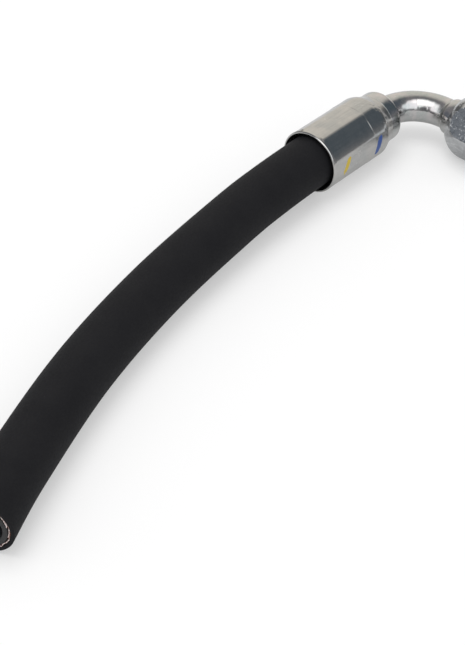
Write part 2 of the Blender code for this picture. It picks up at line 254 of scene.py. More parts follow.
class EffectShop:
    """Builds each shared effect once and places it where it is asked for."""

    def __init__(self) -> None:
        """Start with nothing built."""
        self.built: dict[Effect, bpy.types.NodeTree] = {}

    def add(self, wiring: Wiring, effect: Effect, **values: object) -> bpy.types.Node:
        """Place an effect in a material.

        Args:
            wiring: the material's wiring.
            effect: which effect.
            values: its inputs, by name, with _ for a space.

        Returns:
            The group node.
        """
        if effect not in self.built:
            self.built[effect] = self._build(effect)
        node = wiring.place("Group", node_tree=self.built[effect])
        wiring.fill(node, **values)
        return node

    def _build(self, effect: Effect) -> bpy.types.NodeTree:
        """Make an effect's group.

        Args:
            effect: which effect.

        Returns:
            The group.
        """
        makers: dict[Effect, Callable[[bpy.types.NodeTree], None]] = {
            Effect.SCRATCHES: self._scratches,
            Effect.MOTTLE: self._mottle,
            Effect.WEAR: self._wear,
            Effect.SPECKS: self._specks,
            Effect.DAB: self._dab,
            Effect.CLOTH: self._cloth,
        }
        tree = bpy.data.node_groups.new(effect.value, "ShaderNodeTree")
        makers[effect](tree)
        return tree

    @staticmethod
    def _sockets(
        tree: bpy.types.NodeTree, inputs: dict[str, object], outputs: Iterable[str],
    ) -> tuple[dict[str, Socket], dict[str, Socket]]:
        """Make a group's sockets.

        Args:
            tree: the group.
            inputs: each input's name and default; None makes a vector.
            outputs: the names of the float outputs.

        Returns:
            The inputs inside the group and the outputs inside it, by name.
        """
        for name, default in inputs.items():
            kind = "NodeSocketVector" if default is None or isinstance(default, tuple) else "NodeSocketFloat"
            socket = tree.interface.new_socket(name, in_out="INPUT", socket_type=kind)
            if default is not None:
                socket.default_value = default
        for name in outputs:
            tree.interface.new_socket(name, in_out="OUTPUT", socket_type="NodeSocketFloat")
        entry = tree.nodes.new("NodeGroupInput")
        leave = tree.nodes.new("NodeGroupOutput")
        given = {name: entry.outputs[name] for name in inputs}
        return given, {name: leave.inputs[name] for name in outputs}

    def _scratches(self, tree: bpy.types.NodeTree) -> None:
        """Thin broken scratches in three directions.

        Args:
            tree: the group to fill.
        """
        wiring = Wiring(tree)
        wanted = {"Vector": None, "Scale": 900.0, "Width": 0.02, "Cover": 0.5}
        given, out = self._sockets(tree, wanted, ("Mask",))
        total: Value = 0.0
        for turn, offset in (((20, 35, 10), 0.0), ((70, -25, 55), 3.1), ((-40, 60, -30), 7.7)):
            grained = wiring.stretched(given["Vector"], turn, (1.0, 0.05, 1.0))
            moved = wiring.place("VectorMath", operation="ADD")
            wiring.feed(moved.inputs[0], grained)
            wiring.feed(moved.inputs[1], (offset, offset, offset))
            line = wiring.noise(moved.outputs[0], given["Scale"], 1.0)
            off_line = wiring.math("ABSOLUTE", wiring.math("SUBTRACT", line, 0.5))
            hair = wiring.math("SUBTRACT", 1.0, wiring.math("DIVIDE", off_line, given["Width"]), clamp=True)
            patch = wiring.noise(moved.outputs[0], wiring.math("MULTIPLY", given["Scale"], 0.35), 1.0)
            kept = wiring.remap(wiring.math("ADD", patch, given["Cover"]), 1.0, 1.12)
            total = wiring.math("ADD", total, wiring.math("MULTIPLY", hair, kept), clamp=True)
        wiring.feed(out["Mask"], total)

    def _mottle(self, tree: bpy.types.NodeTree) -> None:
        """Cloudy patches with a fine grain in them.

        Args:
            tree: the group to fill.
        """
        wiring = Wiring(tree)
        given, out = self._sockets(tree, {"Vector": None, "Scale": 250.0, "Grain": 6.0}, ("Tone", "Grain"))
        clouds = wiring.noise(given["Vector"], given["Scale"], 4.0, 0.6)
        finer = wiring.math("MULTIPLY", given["Scale"], given["Grain"])
        grain = wiring.noise(given["Vector"], finer, 3.0, 0.65)
        wiring.feed(out["Tone"], wiring.remap(clouds, 0.3, 0.7))
        wiring.feed(out["Grain"], grain)

    def _wear(self, tree: bpy.types.NodeTree) -> None:
        """Rubbed edges, broken up by noise.

        Args:
            tree: the group to fill.
        """
        wiring = Wiring(tree)
        given, out = self._sockets(tree, {"Vector": None, "Scale": 700.0, "Amount": 1.0}, ("Mask",))
        edge = wiring.place("Attribute", attribute_name="edge").outputs["Fac"]
        broken = wiring.noise(given["Vector"], given["Scale"], 3.0, 0.6)
        rubbed = wiring.math("MULTIPLY", edge, wiring.remap(broken, 0.32, 0.62))
        wiring.feed(out["Mask"], wiring.math("MULTIPLY", rubbed, given["Amount"], clamp=True))

    def _specks(self, tree: bpy.types.NodeTree) -> None:
        """Sparse small specks, such as lint or pits.

        Args:
            tree: the group to fill.
        """
        wiring = Wiring(tree)
        wanted = {"Vector": None, "Scale": 400.0, "Size": 0.16, "Share": 0.2}
        given, out = self._sockets(tree, wanted, ("Mask",))
        cells = wiring.place("TexVoronoi", feature="F1")
        wiring.feed(cells.inputs["Vector"], given["Vector"])
        wiring.feed(cells.inputs["Scale"], given["Scale"])
        dot = wiring.math("DIVIDE", cells.outputs["Distance"], given["Size"])
        dot = wiring.math("SUBTRACT", 1.0, dot, clamp=True)
        chance = wiring.place("SeparateColor")
        wiring.feed(chance.inputs[0], cells.outputs["Color"])
        chosen = wiring.math("LESS_THAN", chance.outputs[0], given["Share"])
        wiring.feed(out["Mask"], wiring.math("MULTIPLY", dot, chosen))

    def _dab(self, tree: bpy.types.NodeTree) -> None:
        """One short brush stroke laid round a turned surface.

        Args:
            tree: the group to fill.
        """
        wiring = Wiring(tree)
        wanted = {
            "Map": None, "Vector": None, "Along": 0.0, "Round": 0.0,
            "Half Width": 0.01, "Half Length": 0.05, "Lean": 0.0, "Dryness": 0.0,
        }
        given, out = self._sockets(tree, wanted, ("Mask", "Thickness"))
        place = wiring.place("SeparateXYZ")
        wiring.feed(place.inputs[0], given["Map"])
        round_way = wiring.math("SUBTRACT", place.outputs[0], given["Round"])
        lean = wiring.math("MULTIPLY", round_way, given["Lean"])
        along_way = wiring.math("SUBTRACT", wiring.math("SUBTRACT", place.outputs[1], given["Along"]), lean)
        across = wiring.math("DIVIDE", along_way, given["Half Width"])
        down = wiring.math("DIVIDE", round_way, given["Half Length"])
        ragged = wiring.noise(given["Vector"], 1500.0, 3.0, 0.6)
        spread = wiring.math("ADD", wiring.math("POWER", wiring.math("ABSOLUTE", across), 2.4),
                             wiring.math("POWER", wiring.math("ABSOLUTE", down), 4.0))
        fringe = wiring.math("MULTIPLY", wiring.math("SUBTRACT", ragged, 0.5), 0.9)
        spread = wiring.math("ADD", spread, fringe)
        dry = wiring.math("MULTIPLY", wiring.math("MAXIMUM", down, 0.0), wiring.remap(ragged, 0.4, 0.6))
        thinned = wiring.math("ADD", spread, wiring.math("MULTIPLY", dry, given["Dryness"]))
        mask = wiring.remap(thinned, 1.12, 0.82)
        streak = wiring.noise(wiring.stretched(given["Vector"], (0, 0, 0), (1.0, 0.2, 0.2)), 2600.0, 2.0)
        wiring.feed(out["Mask"], mask)
        body = wiring.remap(streak, 0.25, 0.75, 0.6, 1.0)
        wiring.feed(out["Thickness"], wiring.math("MULTIPLY", mask, body))

    def _cloth(self, tree: bpy.types.NodeTree) -> None:
        """Crossed threads pressed into rubber by the cloth it was cured in.

        Args:
            tree: the group to fill.
        """
        wiring = Wiring(tree)
        given, out = self._sockets(tree, {"Map": None, "Threads": 110.0, "Vector": None}, ("Height",))
        place = wiring.place("SeparateXYZ")
        wiring.feed(place.inputs[0], given["Map"])
        total: Value = 0.0
        for sign in (1.0, -1.0):
            diagonal = wiring.math("ADD", place.outputs[0], wiring.math("MULTIPLY", place.outputs[1], sign))
            turns = wiring.math("MULTIPLY", wiring.math("MULTIPLY", diagonal, given["Threads"]), FULL_TURN)
            total = wiring.math("ADD", total, wiring.math("SINE", turns))
        uneven = wiring.noise(given["Vector"], 600.0, 2.0)
        depth = wiring.remap(uneven, 0.3, 0.7, 0.25, 1.0)
        height = wiring.math("MULTIPLY", wiring.math("MULTIPLY", total, 0.25), depth)
        wiring.feed(out["Height"], wiring.math("ADD", height, 0.5))


EFFECTS = EffectShop()


# --------------------------------------------------------------------------
# Finishes
# --------------------------------------------------------------------------


@dataclass(frozen=True)
class Finish:
    """A material with a name. Each kind of finish wires its own nodes."""

    name: str

    def material(self) -> bpy.types.Material:
        """Make the finish's material, or give it if it is already made.

        Returns:
            The material.
        """
        made = bpy.data.materials.get(self.name)
        if made:
            return made
        made = bpy.data.materials.new(self.name)
        made.use_nodes = True
        wiring = Wiring(made.node_tree)
        self.wire(wiring, made.node_tree.nodes["Principled BSDF"])
        return made

    def wire(self, wiring: Wiring, shader: bpy.types.Node) -> None:
        """Fill the material's tree.

        Args:
            wiring: the tree's wiring.
            shader: its Principled node.
        """
        raise NotImplementedError

    @staticmethod
    def bump(wiring: Wiring, shader: bpy.types.Node, height: Socket, depth: float) -> None:
        """Join a height to the shader's normal.

        Args:
            wiring: the tree's wiring.
            shader: the Principled node.
            height: the height, from 0 to 1.
            depth: how deep 1 is, in metres.
        """
        node = wiring.place("Bump")
        node.inputs["Strength"].default_value = 1.0
        node.inputs["Distance"].default_value = depth
        wiring.feed(node.inputs["Height"], height)
        wiring.feed(shader.inputs["Normal"], node.outputs["Normal"])


@dataclass(frozen=True)
class Dab:
    """An inspector's paint mark on the ferrule."""

    colour: Colour
    along: float
    turn: float
    half_width: float
    half_length: float
    lean: float
    dryness: float


@dataclass(frozen=True)
class PlatedSteel(Finish):
    """Zinc plated steel: cloudy, finely scratched and rubbed bright on its edges."""

    light: Colour
    dark: Colour
    least_roughness: float
    most_roughness: float
    mottle_scale: float = 260.0
    scratch_scale: float = 420.0
    scratch_cover: float = 0.42
    scratch_bright: float = 0.35
    grain_depth: float = 0.004 * MM
    pit_scale: float = 500.0
    pit_share: float = 0.05
    pit_size: float = 0.13
    draw_marks: float = 0.0
    pit_depth: float = 8.0
    dabs: tuple[Dab, ...] = ()

    def wire(self, wiring: Wiring, shader: bpy.types.Node) -> None:
        """Fill the material's tree.

        Args:
            wiring: the tree's wiring.
            shader: its Principled node.
        """
        place = wiring.coordinates()
        mottle = EFFECTS.add(wiring, Effect.MOTTLE, vector=place, scale=self.mottle_scale)
        scratch = EFFECTS.add(
            wiring, Effect.SCRATCHES, vector=place, scale=self.scratch_scale, cover=self.scratch_cover,
        ).outputs["Mask"]
        wear = EFFECTS.add(wiring, Effect.WEAR, vector=place).outputs["Mask"]
        colour = wiring.blend(mottle.outputs["Tone"], self.dark, self.light)
        drawn = wiring.noise(wiring.stretched(place, (0, 0, 0), (0.03, 1.0, 1.0)), 1400.0, 3.0, 0.7)
        drawn = wiring.math("MULTIPLY", wiring.remap(drawn, 0.42, 0.66), self.draw_marks)
        colour = wiring.blend(drawn, colour, self.dark, "MULTIPLY")
        bright = tuple(min(1.0, part * 1.25) for part in self.light)
        colour = wiring.blend(wiring.math("MULTIPLY", scratch, self.scratch_bright), colour, bright)
        colour = wiring.blend(wiring.math("MULTIPLY", wear, 0.7), colour, bright)
        pits = EFFECTS.add(
            wiring, Effect.SPECKS, vector=place, scale=self.pit_scale, size=self.pit_size,
            share=self.pit_share,
        ).outputs["Mask"]
        rough = wiring.remap(mottle.outputs["Grain"], 0.3, 0.7, self.least_roughness, self.most_roughness)
        rough = wiring.math("ADD", rough, wiring.math("MULTIPLY", scratch, 0.12))
        metallic: Value = 1.0
        height = wiring.math("SUBTRACT", mottle.outputs["Grain"], scratch)
        height = wiring.math("SUBTRACT", height, wiring.math("MULTIPLY", pits, self.pit_depth))
        for dab in self.dabs:
            stroke = EFFECTS.add(
                wiring, Effect.DAB, map=wiring.coordinates("UV"), vector=place, along=dab.along,
                round=dab.turn, half_width=dab.half_width, half_length=dab.half_length, lean=dab.lean,
                dryness=dab.dryness,
            )
            mask = stroke.outputs["Mask"]
            colour = wiring.blend(mask, colour, dab.colour)
            rough = wiring.math("ADD", wiring.math("MULTIPLY", rough, wiring.math("SUBTRACT", 1.0, mask)),
                                wiring.math("MULTIPLY", mask, 0.45))
            metallic = wiring.math("SUBTRACT", metallic, mask, clamp=True)
            height = wiring.math("ADD", height, wiring.math("MULTIPLY", stroke.outputs["Thickness"], 6.0))
        wiring.feed(shader.inputs["Base Color"], colour)
        wiring.feed(shader.inputs["Roughness"], rough)
        wiring.feed(shader.inputs["Metallic"], metallic)
        self.bump(wiring, shader, height, self.grain_depth)


@dataclass(frozen=True)
class CoverRubber(Finish):
    """Cloth-cured rubber cover of the hose."""

    colour: Colour
    bloom: Colour
    roughness: float
    threads: float = 128.0
    imprint_depth: float = 0.02 * MM

    def wire(self, wiring: Wiring, shader: bpy.types.Node) -> None:
        """Fill the material's tree.

        Args:
            wiring: the tree's wiring.
            shader: its Principled node.
        """
        place = wiring.coordinates()
        laid_out = wiring.coordinates("UV")
        cloth = EFFECTS.add(wiring, Effect.CLOTH, map=laid_out, threads=self.threads, vector=place)
        mottle = EFFECTS.add(wiring, Effect.MOTTLE, vector=place, scale=90.0, grain=14.0)
        lint = EFFECTS.add(wiring, Effect.SPECKS, vector=place, scale=330.0, size=0.06, share=0.05)
        colour = wiring.blend(mottle.outputs["Tone"], self.colour, self.bloom)
        dusty = wiring.math("MULTIPLY", lint.outputs["Mask"], 0.25)
        colour = wiring.blend(dusty, colour, (0.12, 0.12, 0.12))
        rough = wiring.remap(mottle.outputs["Grain"], 0.3, 0.7, self.roughness - 0.06, self.roughness + 0.06)
        grain = wiring.math("MULTIPLY", mottle.outputs["Grain"], 0.8)
        height = wiring.math("ADD", cloth.outputs["Height"], grain)
        wiring.feed(shader.inputs["Base Color"], colour)
        wiring.feed(shader.inputs["Roughness"], rough)
        shader.inputs["Specular IOR Level"].default_value = 0.16
        self.bump(wiring, shader, height, self.imprint_depth)


@dataclass(frozen=True)
class LinerRubber(Finish):
    """Smooth nitrile liner, with a faint mottle and grain."""

    colour: Colour
    roughness: float

    def wire(self, wiring: Wiring, shader: bpy.types.Node) -> None:
        """Fill the material's tree.

        Args:
            wiring: the tree's wiring.
            shader: its Principled node.
        """
        place = wiring.coordinates()
        mottle = EFFECTS.add(wiring, Effect.MOTTLE, vector=place, scale=420.0, grain=8.0)
        lighter = tuple(part * 1.6 for part in self.colour)
        wiring.feed(shader.inputs["Base Color"], wiring.blend(mottle.outputs["Tone"], self.colour, lighter))
        rough = wiring.remap(mottle.outputs["Grain"], 0.3, 0.7, self.roughness - 0.08, self.roughness + 0.08)
        wiring.feed(shader.inputs["Roughness"], rough)
        self.bump(wiring, shader, mottle.outputs["Grain"], 0.03 * MM)


@dataclass(frozen=True)
class BrassedWire(Finish):
    """Brass coated steel wire, with bright sawn ends."""

    brass: Colour
    sawn: Colour
    roughness: float

    def wire(self, wiring: Wiring, shader: bpy.types.Node) -> None:
        """Fill the material's tree.

        Args:
            wiring: the tree's wiring.
            shader: its Principled node.
        """
        place = wiring.coordinates()
        mottle = EFFECTS.add(wiring, Effect.MOTTLE, vector=place, scale=800.0)
        ends = EFFECTS.add(wiring, Effect.WEAR, vector=place, scale=2500.0, amount=1.0)
        stained = tuple(part * 0.55 for part in self.brass)
        colour = wiring.blend(mottle.outputs["Tone"], stained, self.brass)
        colour = wiring.blend(ends.outputs["Mask"], colour, self.sawn)
        wiring.feed(shader.inputs["Base Color"], colour)
        rough = wiring.remap(mottle.outputs["Grain"], 0.3, 0.7, self.roughness - 0.1, self.roughness + 0.1)
        wiring.feed(shader.inputs["Roughness"], rough)
        shader.inputs["Metallic"].default_value = 1.0
        self.bump(wiring, shader, mottle.outputs["Grain"], 0.01 * MM)


COVER_FINISH = CoverRubber("cloth_cured_rubber", (0.0095, 0.0095, 0.0112), (0.0115, 0.0115, 0.0132), 0.72)
LINER_FINISH = LinerRubber("nitrile_liner", (0.014, 0.014, 0.015), 0.55)
WIRE_FINISH = BrassedWire("brassed_wire", (0.42, 0.20, 0.15), (0.95, 0.86, 0.84), 0.35)
ZINC_FINISH = PlatedSteel(
    "zinc_plated_steel", (0.55, 0.56, 0.57), (0.43, 0.44, 0.45), 0.12, 0.24, mottle_scale=420.0,
    scratch_scale=640.0, scratch_cover=0.55, scratch_bright=0.85, grain_depth=0.008 * MM,
    pit_scale=850.0, pit_share=0.5, pit_size=0.28, pit_depth=13.0,
)
FERRULE_FINISH = PlatedSteel(
    "zinc_plated_ferrule", (0.50, 0.49, 0.475), (0.43, 0.435, 0.43), 0.15, 0.23, mottle_scale=130.0,
    grain_depth=0.002 * MM, draw_marks=0.14,
    dabs=(
        Dab((0.60, 0.44, 0.03), 0.200, 0.244, 0.031, 0.046, -0.87, 1.1),
        Dab((0.025, 0.075, 0.28), 0.704, 0.243, 0.037, 0.050, -0.55, 0.2),
    ),
)
BRIGHT_FINISH = PlatedSteel(
    "bright_plated_steel", (0.55, 0.52, 0.52), (0.42, 0.45, 0.44), 0.11, 0.19, mottle_scale=190.0,
    scratch_bright=0.3,
    grain_depth=0.002 * MM,
)
BRAZE_FINISH = PlatedSteel(
    "plated_braze", (0.55, 0.55, 0.53), (0.42, 0.42, 0.41), 0.2, 0.36, mottle_scale=700.0,
    scratch_bright=0.1, grain_depth=0.02 * MM,
)


# --------------------------------------------------------------------------
# Meshes
# --------------------------------------------------------------------------


@dataclass(frozen=True)
class Axis:
    """A line that pieces are turned about."""

    origin: Vector
    along: Vector
    side: Vector
    rise: Vector = Vector((0.0, 0.0, 1.0))

    def place(self, distance: np.ndarray, turn: np.ndarray, radius: np.ndarray) -> np.ndarray:
        """Points at a distance along the axis, a turn from the top and a radius.

        Args:
            distance: metres along the axis.
            turn: radians from straight up towards the side.
            radius: metres from the axis.

        Returns:
            An array of points, one more axis than the inputs.
        """
        distance, turn, radius = np.broadcast_arrays(distance, turn, radius)
        point = np.array(self.origin) + distance[..., None] * np.array(self.along)
        point = point + (radius * np.sin(turn))[..., None] * np.array(self.side)
        return point + (radius * np.cos(turn))[..., None] * np.array(self.rise)


class Shell:
    """Collects closed skins and makes one object of them."""

    def __init__(self) -> None:
        """Start empty."""
        self.points: list[np.ndarray] = []
        self.faces: list[tuple[int, ...]] = []
        self.maps: list[tuple[tuple[float, float], ...]] = []
        self.edges: list[np.ndarray] = []
        self.count = 0

    def add_loop(
        self, rings: np.ndarray, along: Optional[np.ndarray] = None, edge: Optional[np.ndarray] = None,
    ) -> None:
        """Add a skin that closes on itself both ways, such as a tube with its bore.

        Args:
            rings: points, as (rings, points of a ring, 3).
            along: each ring's place in the map; by default its share of the rings.
            edge: how exposed each point is to wear, as (rings, points of a ring).
        """
        count, sides = rings.shape[:2]
        along = np.linspace(0, 1, count) if along is None else along
        for row in range(count):
            following = (row + 1) % count
            for side in range(sides):
                beside = (side + 1) % sides
                self.faces.append((
                    self.count + row * sides + side,
                    self.count + row * sides + beside,
                    self.count + following * sides + beside,
                    self.count + following * sides + side,
                ))
                here, there = side / sides, (side + 1) / sides
                start, end = along[row], along[following]
                self.maps.append(((here, start), (there, start), (there, end), (here, end)))
        self.points.append(rings.reshape(-1, 3))
        self.edges.append(np.zeros(count * sides) if edge is None else edge.reshape(-1))
        self.count += count * sides

    def add_rod(self, rings: np.ndarray, edge: float = 0.0) -> None:
        """Add a solid rod with flat ends.

        Args:
            rings: points, as (rings, points of a ring, 3).
            edge: how exposed its last ring is to wear; on a braid wire 1 gives the bright sawn end, and 0
                leaves the end darker as painted shade.
        """
        count, sides = rings.shape[:2]
        for row in range(count - 1):
            for side in range(sides):
                beside = (side + 1) % sides
                first = self.count + row * sides
                beyond = first + sides
                self.faces.append((first + side, first + beside, beyond + beside, beyond + side))
                self.maps.append(((0.0, 0.0), (1.0, 0.0), (1.0, 1.0), (0.0, 1.0)))
        for row, order in ((0, range(sides - 1, -1, -1)), (count - 1, range(sides))):
            self.faces.append(tuple(self.count + row * sides + side for side in order))
            self.maps.append(tuple((0.5, 0.5) for _ in range(sides)))
        worn = np.zeros((count, sides))
        worn[-1] = edge
        self.points.append(rings.reshape(-1, 3))
        self.edges.append(worn.reshape(-1))
        self.count += count * sides

    def finished(self, name: str, finish: Finish, sharp: float = 35.0) -> bpy.types.Object:
        """Make the object.

        Args:
            name: the piece's name.
            finish: its finish.
            sharp: degrees from which an edge is shaded sharp.

        Returns:
            The object, linked to the scene.
        """
        mesh = bpy.data.meshes.new(name)
        mesh.from_pydata(np.concatenate(self.points).tolist(), [], self.faces)
        layer = mesh.uv_layers.new(name="laid_out")
        flat = [part for face in self.maps for pair in face for part in pair]
        layer.data.foreach_set("uv", np.array(flat, np.float32))
        worn = mesh.attributes.new("edge", "FLOAT", "POINT")
        worn.data.foreach_set("value", np.concatenate(self.edges).astype(np.float32))
        shell = bmesh.new()
        shell.from_mesh(mesh)
        bmesh.ops.recalc_face_normals(shell, faces=shell.faces)
        if shell.calc_volume(signed=True) < 0:
            bmesh.ops.reverse_faces(shell, faces=shell.faces)
        shell.to_mesh(mesh)
        shell.free()
        mesh.shade_smooth()
        mesh.set_sharp_from_angle(angle=math.radians(sharp))
        mesh.materials.append(finish.material())
        piece = bpy.data.objects.new(name, mesh)
        bpy.context.scene.collection.objects.link(piece)
        return piece


def settle(piece: bpy.types.Object, body: Body, slot: Slot, *nodes: str) -> bpy.types.Object:
    """Say what a piece rides on and what it stands for.

    Args:
        piece: the object.
        body: the body it moves with.
        slot: the record's material slot; not used.
        nodes: the CAD nodes that it stands for.

    Returns:
        The same object.
    """
    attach(piece, body.value)
    if nodes:
        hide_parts(*nodes)
    LOG.info("%s: %d faces, rides on %s", piece.name, len(piece.data.polygons), body.value)
    return piece


def smoothstep(value: np.ndarray, start: float, end: float) -> np.ndarray:
    """Ease from 0 at start to 1 at end.

    Args:
        value: where to evaluate.
        start: where the result is 0.
        end: where the result is 1.

    Returns:
        The eased share.
    """
    share = np.clip((value - start) / (end - start), 0.0, 1.0)
    return share * share * (3.0 - 2.0 * share)


def rounded_polygon(turn: np.ndarray, apothem: float, sides: int, corner: float) -> np.ndarray:
    """Distance from the centre of a polygon with rounded corners to its side.

    Args:
        turn: radians from the middle of a side.
        apothem: from the centre to the middle of a side.
        sides: how many sides.
        corner: radius of the rounded corners.

    Returns:
        The distance at each turn.
    """
    half = math.pi / sides
    offset = np.abs((turn + half) % (2 * half) - half)
    flat = apothem / np.cos(offset)
    centre = (apothem - corner) / math.cos(half)
    away = half - offset
    reach = np.sqrt(np.maximum(corner ** 2 - (centre * np.sin(away)) ** 2, 0.0))
    touch = math.atan((apothem - corner) * math.tan(half) / apothem)
    return np.where(offset >= touch, centre * np.cos(away) + reach, flat)


def refined(outline: Profile, step: float) -> np.ndarray:
    """Add points along an outline so that none are further apart than a step.

    Args:
        outline: its corners, as (distance, radius).
        step: the longest stretch.

    Returns:
        The points, as an array of (distance, radius).
    """
    points: list[tuple[float, float]] = []
    for (x0, r0), (x1, r1) in zip(outline, outline[1:]):
        pieces = max(1, math.ceil(math.hypot(x1 - x0, r1 - r0) / step))
        points += [(x0 + (x1 - x0) * i / pieces, r0 + (r1 - r0) * i / pieces) for i in range(pieces)]
    points.append(outline[-1])
    return np.array(points)


def arc(
    centre: tuple[float, float], radius: float, start: float, end: float, steps: int,
) -> list[tuple[float, float]]:
    """Points on a round of an outline.

    Args:
        centre: the arc's centre, as (distance, radius).
        radius: the arc's own radius.
        start: its first angle in degrees, from the axis direction outwards.
        end: its last angle in degrees.
        steps: how many stretches.

    Returns:
        The points, both ends included.
    """
    angles = [math.radians(start + (end - start) * i / steps) for i in range(steps + 1)]
    return [(centre[0] + radius * math.cos(a), centre[1] + radius * math.sin(a)) for a in angles]


# --------------------------------------------------------------------------
# Sub-assemblies
# --------------------------------------------------------------------------


@dataclass
class Hose:
    """Half inch hose: liner, one wire braid and cover, cut square at its far end."""

    mouth: Vector
    bore: float = 6.7 * MM
    liner: float = 8.42 * MM
    braid_bore: float = 8.46 * MM
    braid: float = 9.34 * MM
    cover_bore: float = 9.38 * MM
    radius: float = 10.7 * MM
    insertion: float = 29.0 * MM
    table_gap: float = 0.05 * MM
    route: tuple[tuple[float, float, float], ...] = (
        (0.0, 0.0, 0.0),
        (-24.0 * MM, -0.7 * MM, 0.10),
        (-48.2 * MM, -2.4 * MM, 0.35),
        (-96.0 * MM, -8.6 * MM, 0.85),
        (-143.0 * MM, -19.7 * MM, 1.0),
        (-188.4 * MM, -36.1 * MM, 1.0),
        (-212.6 * MM, -46.8 * MM, 1.0),
    )
    steps: int = 24
    sides: int = 96
    wire_radius: float = 0.19 * MM
    carriers: int = 12
    wires: int = 6
    wire_reach: float = 5.0 * MM
    braid_slope: float = math.tan(math.radians(54.7))
    pieces: dict[str, bpy.types.Object] = field(default_factory=dict)

    def line(self) -> tuple[np.ndarray, np.ndarray]:
        """Centreline of the hose, from its end in the ferrule to the cut.

        Returns:
            The points and the directions, one row each.
        """
        drop = self.mouth.z - self.radius - self.table_gap
        knots = [Vector((self.insertion / 2, 0, 0))]
        knots += [Vector((x, y, -drop * share)) for x, y, share in self.route]
        points = [Vector((self.insertion * (1 - i / 8), 0, 0)) for i in range(8)]
        ways = [Vector((-1, 0, 0))] * len(points)
        for index in range(1, len(knots) - 1):
            before, start, end = knots[index - 1], knots[index], knots[index + 1]
            after = knots[min(index + 2, len(knots) - 1)]
            leave, arrive = (end - before) / 2, (after - start) / 2
            last = index == len(knots) - 2
            for step in range(self.steps + (1 if last else 0)):
                s = step / self.steps
                spot = (2 * s ** 3 - 3 * s ** 2 + 1) * start + (s ** 3 - 2 * s ** 2 + s) * leave
                spot += (3 * s ** 2 - 2 * s ** 3) * end + (s ** 3 - s ** 2) * arrive
                way = (6 * s ** 2 - 6 * s) * (start - end) + (3 * s ** 2 - 4 * s + 1) * leave
                way += (3 * s ** 2 - 2 * s) * arrive
                points.append(spot)
                ways.append(way.normalized())
        return np.array([self.mouth + p for p in points]), np.array(ways)

    @staticmethod
    def section(
        point: np.ndarray, way: np.ndarray, turns: np.ndarray, radius: Union[float, np.ndarray],
    ) -> np.ndarray:
        """Ring of points round the centreline.

        Args:
            point: the ring's centre.
            way: the centreline's direction there.
            turns: radians of each point.
            radius: distance of each point.

        Returns:
            The ring's points.
        """
        across = np.cross((0.0, 0.0, 1.0), way)
        across /= np.linalg.norm(across)
        above = np.cross(way, across)
        radius = np.broadcast_to(radius, turns.shape)
        return point + (radius * np.cos(turns))[:, None] * across + (radius * np.sin(turns))[:, None] * above

    def tube(self, outer: float, inner: float, round_edge: float) -> tuple[np.ndarray, np.ndarray]:
        """Rings of a layer: outer skin to the cut, and bore back.

        Args:
            outer: the layer's outer radius.
            inner: its bore's radius.
            round_edge: how far the cut corner is broken.

        Returns:
            The rings and each ring's place in the map.
        """
        points, ways = self.line()
        turns = np.linspace(0, FULL_TURN, self.sides, endpoint=False)
        travel = np.concatenate([[0.0], np.cumsum(np.linalg.norm(np.diff(points, axis=0), axis=1))])
        scale = FULL_TURN * self.radius
        end, way = points[-1], ways[-1]
        rings = [self.section(p, w, turns, outer) for p, w in zip(points[:-1], ways[:-1])]
        along = list(travel[:-1] / scale)
        for back, inset in ((3.0, 0.0), (1.0, 0.0), (0.3, 0.3), (0.0, 1.0)):
            rings.append(self.section(end - way * back * round_edge, way, turns, outer - inset * round_edge))
            along.append((travel[-1] - back * round_edge) / scale)
        middle = (outer + inner) / 2
        for radius, inset in ((middle, 0.0), (inner + round_edge, 0.0), (inner, 0.7)):
            rings.append(self.section(end - way * inset * round_edge, way, turns, radius))
            along.append((travel[-1] + outer - radius) / scale)
        for p, w, s in list(zip(points, ways, travel))[-2::-1]:
            rings.append(self.section(p, w, turns, inner))
            along.append((2 * travel[-1] - s) / scale)
        return np.array(rings), np.array(along)

    def build_cover(self) -> None:
        """Build the rubber cover."""
        shell = Shell()
        shell.add_loop(*self.tube(self.radius, self.cover_bore, 0.12 * MM))
        self.pieces["cover"] = shell.finished("rubber_cover", COVER_FINISH)

    def build_liner(self) -> None:
        """Build the smooth liner."""
        shell = Shell()
        shell.add_loop(*self.tube(self.liner, self.bore, 0.1 * MM))
        self.pieces["liner"] = shell.finished("nitrile_tube", LINER_FINISH)

    def build_braid(self) -> None:
        """Build the braid: a bed along the hose, and single wires at the cut."""
        points, ways = self.line()
        end, way = points[-1], ways[-1]
        shell = Shell()
        rings, along = self.tube(self.braid - 0.22 * MM, self.braid_bore + 0.22 * MM, 0.05 * MM)
        cut = np.dot(rings - end, way)
        sunk = rings - np.maximum(cut + 1.1 * MM, 0.0)[..., None] * way
        shell.add_loop(sunk, along)
        noise = random.Random(11)
        middle = (self.braid + self.braid_bore) / 2
        swing = (self.braid - self.braid_bore) / 2 - 1.15 * self.wire_radius
        spacing = 2.02 * self.wire_radius * math.hypot(1.0, self.braid_slope) / middle
        for hand, sunk_by in ((1, 0.0), (-1, 0.45 * MM)):
            for carrier in range(self.carriers):
                start = FULL_TURN * (carrier + (0.0 if hand > 0 else 0.5)) / self.carriers
                for wire in range(self.wires):
                    place = wire - (self.wires - 1) / 2
                    turn = start + place * spacing + noise.uniform(-0.004, 0.004)
                    level = middle + hand * swing * (2 * place / (self.wires - 1))
                    proud = noise.uniform(-0.08, 0.02) * MM - sunk_by
                    self.add_wire(shell, end, way, turn, level, middle, hand, proud)
        self.pieces["braid"] = shell.finished("brassed_braid", WIRE_FINISH, 50.0)

